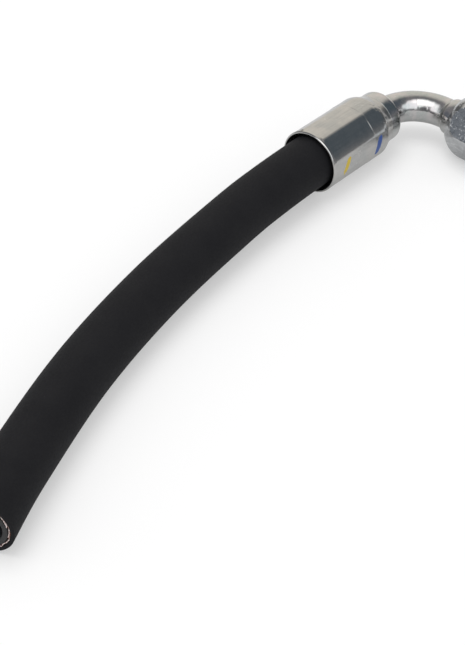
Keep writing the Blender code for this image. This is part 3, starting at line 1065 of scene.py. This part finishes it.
    def add_wire(self, shell: Shell, end: np.ndarray, way: np.ndarray, turn: float, level: float,
                 middle: float, hand: int, proud: float) -> None:
        """Add one wire, from the cut back into the braid.

        Args:
            shell: the shell to add to.
            end: centre of the cut.
            way: the hose's direction at the cut.
            turn: where the wire meets the cut.
            level: its distance from the centreline at the cut.
            middle: the braid's middle radius.
            hand: 1 or -1, the way it winds.
            proud: how far its end stands out of the cut.
        """
        circle = np.linspace(0, FULL_TURN, 6, endpoint=False)
        slant = self.braid_slope / middle
        rings = []
        for step in range(6):
            back = self.wire_reach * (1 - step / 5) - proud
            angle = turn + hand * slant * back
            swing = math.cos(math.pi * back / (self.wire_reach * 0.45))
            radius = middle + (level - middle) * swing
            spot = self.section(end - way * back, way, np.array([angle]), radius)[0]
            out = self.section(end - way * back, way, np.array([angle]), radius + MM)[0] - spot
            out /= np.linalg.norm(out)
            tangent = np.cross(way, out)
            tilt = math.hypot(1.0, self.braid_slope)
            wide = tangent * tilt
            ring = [spot + self.wire_radius * (math.cos(c) * out + math.sin(c) * wide) for c in circle]
            rings.append(ring)
        # The sunk hand's ends get no bright sawn colour: their darker brass is painted shade between the
        # bright dashes.
        shell.add_rod(np.array(rings), 1.0 if hand > 0 else 0.0)

    def build(self) -> None:
        self.build_cover()
        self.build_liner()
        self.build_braid()
        settle(self.pieces["cover"], Body.FITTING, Slot.COVER, "hose_cover")
        settle(self.pieces["liner"], Body.FITTING, Slot.LINER, "inner_tube")
        settle(self.pieces["braid"], Body.FITTING, Slot.WIRE, "wire_braid")
        points, _ = self.line()
        length = float(np.linalg.norm(np.diff(points, axis=0), axis=1).sum())
        LOG.info("hose: %.4f m from end to end", length)


@dataclass(frozen=True)
class Dent:
    """A small knock in a turned surface."""

    along: float
    turn: float
    width: float
    depth: float


@dataclass
class Ferrule:
    """Crimped ferrule: rolled lip, eight pressed flats, round barrel and shoulder."""

    axis: Axis
    lip_radius: float = 13.16 * MM
    lip_rounding: float = 0.65 * MM
    face_radius: float = 13.0 * MM
    face_rise: float = 0.455 * MM
    land_radius: float = 13.37 * MM
    land_blend: float = 0.008 * MM
    barrel_radius: float = 13.14 * MM
    step_rise: float = 0.15 * MM
    step_width: float = 0.24 * MM
    flats: int = 8
    first_flat: float = math.radians(-2.0)
    press_start: float = 0.9 * MM
    press_end: float = 26.1 * MM
    press_run_in: float = 0.6 * MM
    second_press: float = 0.6
    second_end: float = 34.2 * MM
    mouth_bore: float = 12.35 * MM
    grip_bore: float = 10.95 * MM
    grip_depth: float = 0.5 * MM
    grip_teeth: int = 5
    grip_pitch: float = 4.4 * MM
    hose_end: float = 29.3 * MM
    neck_start: float = 33.1 * MM
    neck_bore: float = 8.6 * MM
    shank_bore: float = 9.9 * MM
    length: float = 40.8 * MM
    segments: int = 320
    dents: tuple[Dent, ...] = (
        Dent(16.0 * MM, math.radians(-1.0), 0.5 * MM, 0.17 * MM),
        Dent(15.1 * MM, math.radians(-6.0), 0.45 * MM, -0.05 * MM),
        Dent(11.7 * MM, math.radians(-27.0), 0.5 * MM, 0.14 * MM),
        Dent(33.4 * MM, math.radians(14.0), 0.36 * MM, 0.15 * MM),
        Dent(34.6 * MM, math.radians(19.0), 0.36 * MM, 0.15 * MM),
        Dent(35.9 * MM, math.radians(17.0), 0.36 * MM, 0.15 * MM),
        Dent(34.0 * MM, math.radians(27.0), 0.36 * MM, 0.15 * MM),
        Dent(35.3 * MM, math.radians(31.0), 0.36 * MM, 0.15 * MM),
        Dent(36.8 * MM, math.radians(26.0), 0.36 * MM, 0.15 * MM),
    )

    def outline(self) -> tuple[np.ndarray, int]:
        """Outline of the ferrule: the outside from the mouth, then the bore back.

        Returns:
            The outline's points and how many of them are outside.
        """
        rounding = self.lip_rounding
        lip = arc((rounding, self.lip_radius - rounding), rounding, 180.0, 90.0, 8)
        outside = [(0.0, self.mouth_bore + 0.12 * MM)] + lip
        outside += [(self.press_start + 0.35 * MM * i, self.barrel_radius) for i in range(4)]
        outside += [(3.0 * MM + 0.4 * MM * i, self.barrel_radius) for i in range(55)]
        outside += [(25.0 * MM + 0.08 * MM * i, self.barrel_radius) for i in range(26)]
        shoulder = ((28.0, 13.14), (30.0, 13.14), (32.0, 13.13), (33.5, 13.13), (34.4, 13.1), (35.0, 12.98),
                    (35.5, 12.82), (36.0, 12.63), (36.5, 12.41), (37.0, 12.19), (38.0, 11.79), (39.0, 11.46),
                    (39.8, 11.24), (40.4, 11.1), (40.7, 10.97), (40.8, 10.8), (40.8, 10.5))
        outside += [tuple(spot) for spot in refined([(x * MM, r * MM) for x, r in shoulder], 0.35 * MM)]
        inside: list[tuple[float, float]] = [
            (self.length, self.neck_bore),
            (self.neck_start, self.neck_bore),
            (self.neck_start, self.shank_bore),
            (self.hose_end, self.shank_bore),
            (self.hose_end, self.grip_bore),
        ]
        for tooth in range(self.grip_teeth):
            x = self.hose_end - 1.8 * MM - tooth * self.grip_pitch
            inside += [(x, self.grip_bore + self.grip_depth), (x - 3.3 * MM, self.grip_bore)]
        inside += [(3.4 * MM, self.grip_bore), (1.4 * MM, self.grip_bore + 0.9 * MM)]
        inside += [(0.45 * MM, self.mouth_bore), (0.1 * MM, self.mouth_bore + 0.12 * MM)]
        return np.array(outside + inside), len(outside)

    def pressed(self, x: np.ndarray, turn: np.ndarray, radius: np.ndarray) -> np.ndarray:
        """Radius after the dies have pressed the barrel.

        Args:
            x: distance from the mouth.
            turn: radians from the top.
            radius: radius before pressing.

        Returns:
            The radius after pressing.
        """
        half = math.pi / self.flats
        offset = (turn - self.first_flat + half) % (2 * half) - half
        face = self.face_radius + self.face_rise * (offset / half) ** 2
        face = face - self.land_blend * np.logaddexp(0.0, (face - self.land_radius) / self.land_blend)
        share = smoothstep(x, self.press_start, self.press_start + self.press_run_in)
        released = smoothstep(x, self.press_end - 0.2 * MM, self.press_end + 0.3 * MM)
        share = share - (1.0 - self.second_press) * released
        share = share - self.second_press * smoothstep(x, self.second_end - 1.5 * MM, self.second_end)
        radius = radius + self.step_rise * np.exp(-((x - self.press_end - 0.3 * MM) / self.step_width) ** 2)
        return radius + share * (face - radius)

    def build(self) -> None:
        """Build the ferrule."""
        outline, outer = self.outline()
        turns = np.linspace(0, FULL_TURN, self.segments, endpoint=False)
        x = np.repeat(outline[:, :1], self.segments, axis=1)
        radius = np.repeat(outline[:, 1:], self.segments, axis=1)
        grid = np.broadcast_to(turns, x.shape)
        shaped = radius.copy()
        shaped[:outer] = self.pressed(x[:outer], grid[:outer], radius[:outer])
        for dent in self.dents:
            round_way = (grid[:outer] - dent.turn + math.pi) % FULL_TURN - math.pi
            away = np.hypot((x[:outer] - dent.along), round_way * self.barrel_radius) / dent.width
            shaped[:outer] -= dent.depth * np.exp(-away ** 2 * 1.5)
        edge = np.zeros_like(x)
        ridge = np.abs(((grid - self.first_flat) % (FULL_TURN / self.flats)) - math.pi / self.flats)
        on_flats = (x > self.press_start) & (x < self.press_end)
        edge[:outer] = np.where(on_flats, np.exp(-(ridge / 0.05) ** 2) * 0.35, 0.0)[:outer]
        edge[1:9] = 0.3
        shell = Shell()
        shell.add_loop(self.axis.place(x, grid, shaped), outline[:, 0] / self.length, edge)
        piece = shell.finished("crimped_ferrule", FERRULE_FINISH, 50.0)
        settle(piece, Body.FITTING, Slot.ZINC, "ferrule")


@dataclass
class Stem:
    """Barbed stem: tail in the hose, locking groove and the collar outside."""

    axis: Axis
    tail_start: float = 1.6 * MM
    tail_radius: float = 6.4 * MM
    barb_depth: float = 0.55 * MM
    barbs: int = 5
    bore: float = 4.7 * MM
    hose_end: float = 29.3 * MM
    shank_radius: float = 9.6 * MM
    groove_start: float = 32.8 * MM
    groove_radius: float = 8.3 * MM
    collar_start: float = 40.9 * MM
    collar_end: float = 48.2 * MM
    collar_radius: float = 10.75 * MM
    socket_depth: float = 4.6 * MM
    socket_radius: float = 6.65 * MM
    segments: int = 160

    def outline(self) -> list[tuple[float, float]]:
        """Outline of the stem.

        Returns:
            The closed outline's points.
        """
        points = [(self.tail_start, self.bore + 0.7 * MM)]
        pitch = (self.hose_end - self.tail_start - 2.3 * MM) / self.barbs
        for barb in range(self.barbs):
            x = self.tail_start + 0.6 * MM + barb * pitch
            points += [(x, self.tail_radius - self.barb_depth), (x + pitch * 0.8, self.tail_radius)]
        points += [
            (self.hose_end, self.tail_radius - self.barb_depth),
            (self.hose_end, self.shank_radius),
            (self.groove_start, self.shank_radius),
            (self.groove_start, self.groove_radius),
            (self.collar_start, self.groove_radius),
            (self.collar_start, self.collar_radius - 0.15 * MM),
            (self.collar_start + 0.15 * MM, self.collar_radius - 0.02 * MM),
        ]
        points += [
            (self.collar_start + 1.7 * MM, self.collar_radius - 0.01 * MM),
            (self.collar_start + 3.2 * MM, self.collar_radius),
            (self.collar_end - 2.5 * MM, self.collar_radius),
            (self.collar_end - 2.2 * MM, self.collar_radius - 0.05 * MM),
            (self.collar_end - 1.6 * MM, self.collar_radius - 0.38 * MM),
            (self.collar_end - 0.9 * MM, self.collar_radius - 0.93 * MM),
            (self.collar_end - 0.3 * MM, self.collar_radius - 1.55 * MM),
        ]
        points += [
            (self.collar_end, self.collar_radius - 2.1 * MM),
            (self.collar_end, self.socket_radius),
            (self.collar_end - self.socket_depth, self.socket_radius),
            (self.collar_end - self.socket_depth, self.bore),
            (self.tail_start, self.bore),
        ]
        return points

    def build(self) -> None:
        """Build the stem."""
        points = refined(self.outline() + self.outline()[:1], 0.7 * MM)[:-1]
        turns = np.linspace(0, FULL_TURN, self.segments, endpoint=False)
        shell = Shell()
        rings = self.axis.place(points[:, :1], turns[None, :], points[:, 1:])
        shell.add_loop(rings, points[:, 0] / self.collar_end)
        piece = shell.finished("barbed_stem", BRIGHT_FINISH, 40.0)
        settle(piece, Body.FITTING, Slot.BRIGHT, "stem")


@dataclass
class BentTube:
    """Steel tube, bent through a right angle between the stem and the sleeve."""

    mouth: Vector
    radius: float = 6.35 * MM
    wall: float = 1.65 * MM
    start: float = 43.9 * MM
    bend_start: float = 48.6 * MM
    bend_radius: float = 19.05 * MM
    leg: float = 6.0 * MM
    wrinkles: tuple[float, ...] = (0.52, 0.7)
    wrinkle_depth: float = 0.06 * MM
    ripple: float = 0.012 * MM
    steps: int = 120
    sides: int = 96

    def stations(self) -> list[tuple[Vector, Vector, float]]:
        """Stations along the tube.

        Returns:
            Each station's centre, direction and share of the bend.
        """
        found = []
        for step in range(8):
            x = self.start + (self.bend_start - self.start) * step / 8
            found.append((Vector((x, 0, 0)), Vector((1, 0, 0)), 0.0))
        for step in range(self.steps + 1):
            share = step / self.steps
            turn = math.radians(90.0) * share
            x = self.bend_start + self.bend_radius * math.sin(turn)
            y = self.bend_radius * (math.cos(turn) - 1.0)
            found.append((Vector((x, y, 0)), Vector((math.cos(turn), -math.sin(turn), 0)), share))
        for step in range(1, 9):
            y = -self.bend_radius - self.leg * step / 8
            found.append((Vector((self.bend_start + self.bend_radius, y, 0)), Vector((0, -1, 0)), 1.0))
        return found

    def build(self) -> None:
        """Build the tube."""
        turns = np.linspace(0, FULL_TURN, self.sides, endpoint=False)
        stations = self.stations()
        skins = []
        for radius, order in ((self.radius, stations), (self.radius - self.wall, stations[::-1])):
            for point, way, share in order:
                across = np.array(Vector((0, 0, 1)).cross(way))
                swell = 0.012 * math.sin(math.pi * share)
                out = radius * (1.0 + swell * np.cos(2 * turns) * -1.0)
                out = out + self.ripple * np.sin(5 * turns + 40.0 * share) * math.sin(23.0 * share)
                inside = np.maximum(-np.cos(turns), 0.0)
                for spot in self.wrinkles:
                    out = out - self.wrinkle_depth * inside * math.exp(-((share - spot) / 0.012) ** 2)
                ring = np.array(self.mouth + point) + (out * np.cos(turns))[:, None] * across
                skins.append(ring + (out * np.sin(turns))[:, None] * np.array((0.0, 0.0, 1.0)))
        shell = Shell()
        shell.add_loop(np.array(skins))
        piece = shell.finished("elbow_tube", BRIGHT_FINISH, 50.0)
        settle(piece, Body.FITTING, Slot.BRIGHT, "bent_tube")


@dataclass
class BrazeFillet:
    """Ring of braze between the tube and the face it meets."""

    name: str
    node: str
    axis: Axis
    face: float
    direction: int
    foot: float = 6.36 * MM
    height: float = 1.99 * MM
    leg: float = 1.7 * MM
    segments: int = 128

    def build(self) -> None:
        """Build the fillet, a little uneven round the tube."""
        shares = np.linspace(0.0, 1.0, 9)
        turns = np.linspace(0, FULL_TURN, self.segments, endpoint=False)
        uneven = 1.0 + 0.05 * np.sin(3 * turns + 0.4) + 0.03 * np.sin(7 * turns + 1.9)
        hollow = ((1.0 - shares) ** 2)[:, None]
        x = self.face + self.direction * (shares[:, None] * self.leg * uneven)
        radius = self.foot + np.maximum(hollow * self.height, 0.015 * MM) * np.ones_like(turns)
        foot = np.full((1, self.segments), self.foot)
        x = np.concatenate([x, x[-1:], x[:1]])
        radius = np.concatenate([radius, foot, foot])
        shell = Shell()
        shell.add_loop(self.axis.place(x, turns[None, :], radius))
        settle(shell.finished(self.name, BRAZE_FINISH, 60.0), Body.FITTING, Slot.BRAZE, self.node)


@dataclass
class FaceSleeve:
    """Flat-faced sleeve on the tube's end, with the flange the nut pulls on."""

    axis: Axis
    back: float = 20.35 * MM
    end_radius: float = 7.2 * MM
    radius: float = 7.8 * MM
    flange_start: float = 30.35 * MM
    flange_radius: float = 9.2 * MM
    face: float = 34.95 * MM
    bore: float = 4.7 * MM
    tube_bore: float = 6.65 * MM
    tube_end: float = 25.35 * MM
    segments: int = 160

    def build(self) -> None:
        """Build the sleeve."""
        points: list[tuple[float, float]] = [(self.back, self.tube_bore), (self.back, self.end_radius)]
        points += [(self.back + 0.6 * MM, self.end_radius + 0.3 * MM)]
        points += [(self.back + 1.3 * MM, self.radius - 0.14 * MM), (self.back + 2.2 * MM, self.radius)]
        points += [(self.flange_start, self.radius), (self.flange_start + 1.2 * MM, self.flange_radius)]
        points += arc((self.face - 0.35 * MM, self.flange_radius - 0.35 * MM), 0.35 * MM, 90.0, 0.0, 5)
        points += [
            (self.face, self.bore + 0.2 * MM), (self.face - 0.2 * MM, self.bore),
            (self.tube_end, self.bore), (self.tube_end, self.tube_bore),
        ]
        fine = refined(points + points[:1], 0.7 * MM)[:-1]
        turns = np.linspace(0, FULL_TURN, self.segments, endpoint=False)
        shell = Shell()
        shell.add_loop(self.axis.place(fine[:, :1], turns[None, :], fine[:, 1:]), fine[:, 0] / self.face)
        piece = shell.finished("flat_face_sleeve", BRIGHT_FINISH, 40.0)
        settle(piece, Body.FITTING, Slot.BRIGHT, "face_sleeve")


@dataclass
class SwivelNut:
    """Hexagon nut with a domed back, a chamfered front and a cut thread."""

    axis: Axis
    flats: float = 23.8 * MM
    back: float = 24.4 * MM
    front: float = 49.4 * MM
    first_flat: float = math.radians(-5.0)
    corner: float = 0.6 * MM
    bore: float = 8.1 * MM
    seat: float = 30.05 * MM
    thread_bore: float = 9.65 * MM
    thread_root: float = 10.3 * MM
    pitch: float = 1.5875 * MM
    dome: Profile = (
        (0.0, 9.3), (0.2, 9.8), (0.6, 10.25), (1.6, 11.09), (2.6, 11.81), (3.6, 12.41), (4.6, 12.93),
        (5.6, 13.25), (6.6, 13.5), (7.6, 13.65), (8.1, 13.75),
    )
    front_chamfer: float = 1.5 * MM
    per_flat: int = 40

    def turns(self) -> np.ndarray:
        """Angles round the nut, closest together at the corners.

        Returns:
            The angles, in radians from the top.
        """
        half = math.pi / 6
        apothem = self.flats / 2
        touch = math.atan((apothem - self.corner) * math.tan(half) / apothem)
        inner = np.linspace(-touch, touch, self.per_flat - 7)
        outer = np.linspace(touch, half, 5)[1:]
        one = np.concatenate([-outer[::-1], inner, outer[:-1]])
        return np.concatenate([one + FULL_TURN * flat / 6 for flat in range(6)]) + self.first_flat

    def build(self) -> None:
        """Build the nut."""
        turns = self.turns()
        hexagon = rounded_polygon(turns - self.first_flat, self.flats / 2, 6, self.corner)
        widest = self.flats / 2 / math.cos(math.pi / 6)
        dome = np.array(self.dome) * MM
        rows_x, rows_r, edge = [], [], []
        rows_x.append(np.full_like(turns, self.back))
        rows_r.append(np.full_like(turns, self.bore + 0.35 * MM))
        edge.append(0.0)
        for share in np.linspace(0.0, 1.0, 17):
            rows_r.append(dome[0, 1] + (hexagon - dome[0, 1]) * share)
            rows_x.append(self.back + np.interp(rows_r[-1], dome[:, 1], dome[:, 0]))
            edge.append(0.6 if share == 1.0 else 0.0)
        dome_end = rows_x[-1]
        slope = self.front_chamfer / (widest - (self.flats / 2 - 0.5 * MM))
        face_radius = self.flats / 2 - 0.5 * MM
        chamfer_start = self.front - (hexagon - face_radius) * slope
        for share in np.linspace(0.0, 1.0, 25)[1:]:
            rows_x.append(dome_end + (chamfer_start - dome_end) * share)
            rows_r.append(hexagon)
            edge.append(0.6 if share == 1.0 else 0.0)
        for share in np.linspace(0.0, 1.0, 4)[1:]:
            rows_x.append(chamfer_start + (self.front - chamfer_start) * share)
            rows_r.append(hexagon + (face_radius - hexagon) * share)
            edge.append(0.3)
        thread = self.thread_rows(turns)
        rows_x += [x for x, _ in thread]
        rows_r += [r for _, r in thread]
        edge += [0.0] * len(thread)
        cone = (self.thread_bore - self.bore) * 0.9
        chamfer_foot = (self.back + 0.35 * MM, self.bore)
        for x, r in ((self.seat + cone, self.thread_bore), (self.seat, self.bore), chamfer_foot):
            rows_x.append(np.full_like(turns, x))
            rows_r.append(np.full_like(turns, r))
            edge.append(0.0)
        x, radius = np.array(rows_x), np.array(rows_r)
        worn = np.array(edge)[:, None] * np.ones_like(turns)
        corners = np.abs(((turns - self.first_flat) % (FULL_TURN / 6)) - math.pi / 6) < 0.03
        worn[1:44] = np.maximum(worn[1:44], corners * 0.8)
        shell = Shell()
        shell.add_loop(self.axis.place(x, turns[None, :], radius), x.mean(axis=1) / self.front, worn)
        piece = shell.finished("hexagon_nut", ZINC_FINISH, 28.0)
        settle(piece, Body.NUT, Slot.ZINC, "swivel_nut")

    def thread_rows(self, turns: np.ndarray) -> list[tuple[np.ndarray, np.ndarray]]:
        """Rows of the internal thread, from the front of the nut inwards.

        Args:
            turns: the angles round the nut.

        Returns:
            Each row's distances and radii.
        """
        rows = []
        start, end = self.front - 1.3 * MM, self.seat + 3.2 * MM
        mouth = self.thread_root + 0.25 * MM
        rows.append((np.full_like(turns, self.front), np.full_like(turns, mouth)))
        count = int((start - end) / self.pitch * 10)
        for step in range(count + 1):
            x = start - (start - end) * step / count
            phase = (x / self.pitch - turns / FULL_TURN) % 1.0
            cut = np.clip(1.6 - 4.0 * np.abs(phase - 0.5), 0.0, 1.0)
            run_in = smoothstep(np.array(x), end, end + self.pitch)
            radius = self.thread_bore + (self.thread_root - self.thread_bore) * cut * run_in
            rows.append((np.full_like(turns, x), radius))
        return rows


# --------------------------------------------------------------------------
# Studio
# --------------------------------------------------------------------------


@dataclass(frozen=True)
class Glow:
    """A soft patch of the surroundings, seen from the part in one direction.

    The heading is in degrees from +X towards +Y and the height in degrees above the
    floor. The patch is even within its inner angle and gone past its outer angle.
    """

    heading: float
    height: float
    inner: float
    outer: float
    colour: Colour

    def way(self) -> Vector:
        """Point towards the patch.

        Returns:
            The unit vector.
        """
        heading, height = math.radians(self.heading), math.radians(self.height)
        level = math.cos(height)
        return Vector((level * math.cos(heading), level * math.sin(heading), math.sin(height)))


@dataclass
class Studio:
    """Floor, surroundings and camera.

    The glows are blended in order over the overhead tone. Only mirror rays meet
    them; every other ray meets the even dome. The floor gives off part of its own
    light, more of it to the camera, so it stays pale and its shadows are faint.
    """

    mouth: Vector
    camera_place: Vector = Vector((-0.40450, -0.29260, 0.35940))
    camera_way: Vector = Vector((0.580146, 0.466739, -0.667522))
    camera_up: Vector = Vector((0.474927, 0.471962, 0.742762))
    focal_length: float = 86.39
    overhead: Colour = (0.28, 0.28, 0.29)
    dome: float = 0.80
    floor_size: float = 3.0
    floor_tones: tuple[float, float] = (0.56, 0.58)
    floor_glow: float = 0.2
    floor_glow_to_camera: float = 0.4
    key_place: Vector = Vector((-0.2, 0.3, 1.6))
    key_size: float = 1.2
    key_energy: float = 9.0
    glows: tuple[Glow, ...] = (
        Glow(40.0, 24.0, 12.0, 54.0, (1.0, 0.955, 0.875)),
        Glow(-142.0, 46.0, 33.0, 47.0, (1.75, 1.77, 1.78)),
        Glow(174.0, 26.0, 10.0, 20.0, (1.6, 1.6, 1.62)),
        Glow(-98.0, 32.0, 14.0, 27.0, (1.45, 1.5, 1.54)),
        Glow(-145.0, 62.0, 12.0, 24.0, (2.5, 2.46, 2.42)),
        Glow(-150.0, 12.0, 12.0, 26.0, (0.20, 0.20, 0.21)),
        Glow(-158.0, 33.0, 5.0, 12.0, (0.30, 0.30, 0.32)),
        Glow(-32.0, 39.0, 12.0, 32.0, (0.115, 0.14, 0.165)),
        Glow(-12.0, 8.0, 6.0, 22.0, (0.12, 0.13, 0.14)),
        Glow(72.0, 10.0, 7.0, 18.0, (0.12, 0.12, 0.12)),
        Glow(140.0, 20.0, 12.0, 26.0, (0.16, 0.18, 0.21)),
    )

    def build_camera(self) -> None:
        """Put the camera where the assembly is seen from."""
        data = bpy.data.cameras.new("studio_camera")
        data.lens = self.focal_length
        data.clip_start = 0.01
        camera = bpy.data.objects.new("studio_camera", data)
        right = self.camera_way.cross(self.camera_up).normalized()
        up = right.cross(self.camera_way).normalized()
        turn = Matrix((right, up, -self.camera_way.normalized())).transposed()
        camera.matrix_world = Matrix.Translation(self.mouth + self.camera_place) @ turn.to_4x4()
        bpy.context.scene.collection.objects.link(camera)
        bpy.context.scene.camera = camera

    def build_floor(self) -> None:
        """Lay a plain pale floor that the assembly lies on."""
        shell = bmesh.new()
        bmesh.ops.create_grid(shell, x_segments=1, y_segments=1, size=self.floor_size)
        mesh = bpy.data.meshes.new("studio_floor")
        shell.to_mesh(mesh)
        shell.free()
        material = bpy.data.materials.new("pale_floor")
        material.use_nodes = True
        wiring = Wiring(material.node_tree)
        shader = material.node_tree.nodes["Principled BSDF"]
        tone = wiring.noise(wiring.coordinates(), 3.0, 2.0)
        darker, lighter = ((level,) * 3 for level in self.floor_tones)
        wiring.feed(shader.inputs["Base Color"], wiring.blend(tone, darker, lighter))
        shader.inputs["Roughness"].default_value = 0.9
        shader.inputs["Specular IOR Level"].default_value = 0.0
        shader.inputs["Emission Color"].default_value = (1.0, 1.0, 1.0, 1.0)
        to_camera = wiring.place("LightPath").outputs["Is Camera Ray"]
        given_off = wiring.remap(to_camera, 0.0, 1.0, self.floor_glow, self.floor_glow_to_camera)
        wiring.feed(shader.inputs["Emission Strength"], given_off)
        mesh.materials.append(material)
        floor = bpy.data.objects.new("studio_floor", mesh)
        bpy.context.scene.collection.objects.link(floor)

    def build_surroundings(self) -> None:
        """Make the soft surroundings that light the part and show in its metal."""
        world = bpy.data.worlds.new("studio_surroundings")
        world.use_nodes = True
        bpy.context.scene.world = world
        wiring = Wiring(world.node_tree)
        background = world.node_tree.nodes["Background"]
        seen = wiring.place("TexCoord").outputs["Generated"]
        mirrored: object = self.overhead
        for glow in self.glows:
            toward = wiring.place("VectorMath", operation="DOT_PRODUCT")
            wiring.feed(toward.inputs[0], seen)
            wiring.feed(toward.inputs[1], glow.way())
            inner, outer = (math.cos(math.radians(angle)) for angle in (glow.inner, glow.outer))
            share = wiring.remap(toward.outputs["Value"], outer, inner)
            mirrored = wiring.blend(share, mirrored, glow.colour)
        by_mirror = wiring.place("LightPath").outputs["Is Glossy Ray"]
        even = (self.dome, self.dome, self.dome)
        wiring.feed(background.inputs["Color"], wiring.blend(by_mirror, even, mirrored))
        background.inputs["Strength"].default_value = 1.0
        self.build_key()

    def build_key(self) -> None:
        """Add a wide soft key light for gentle shadows."""
        data = bpy.data.lights.new("soft_key", "AREA")
        data.shape = "DISK"
        data.size = self.key_size
        data.energy = self.key_energy
        key = bpy.data.objects.new("soft_key", data)
        key.location = self.key_place
        key.rotation_euler = (-self.key_place).to_track_quat("-Z", "Y").to_euler()
        key.visible_glossy = False
        bpy.context.scene.collection.objects.link(key)

    def build(self) -> None:
        """Build the whole studio."""
        bpy.context.scene.view_settings.view_transform = "Standard"
        self.build_camera()
        self.build_floor()
        self.build_surroundings()


def box_middle(node: str) -> Vector:
    """Middle of a CAD node's box.

    Args:
        node: the node's name.

    Returns:
        The middle point.
    """
    low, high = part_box(node)
    return (low + high) / 2


def main() -> None:
    """Build the studio and the assembly, and report each piece."""
    logging.basicConfig(level=logging.INFO, format="%(message)s")
    stem = box_middle("stem")
    mouth = Vector((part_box("ferrule")[0].x, stem.y, stem.z))
    sleeve = box_middle("face_sleeve")
    ferrule_axis = Axis(mouth, Vector((1, 0, 0)), Vector((0, -1, 0)))
    nut_axis = Axis(Vector((sleeve.x, mouth.y, mouth.z)), Vector((0, -1, 0)), Vector((-1, 0, 0)))
    Studio(mouth).build()
    Hose(mouth).build()
    Ferrule(ferrule_axis).build()
    Stem(ferrule_axis).build()
    BentTube(mouth).build()
    BrazeFillet("collar_braze", "stem_braze", ferrule_axis, 48.2 * MM, 1).build()
    BrazeFillet("sleeve_fillet", "sleeve_braze", nut_axis, 20.36 * MM, -1, height=0.85 * MM).build()
    FaceSleeve(nut_axis).build()
    SwivelNut(nut_axis).build()


if __name__ == "__main__":
    main()
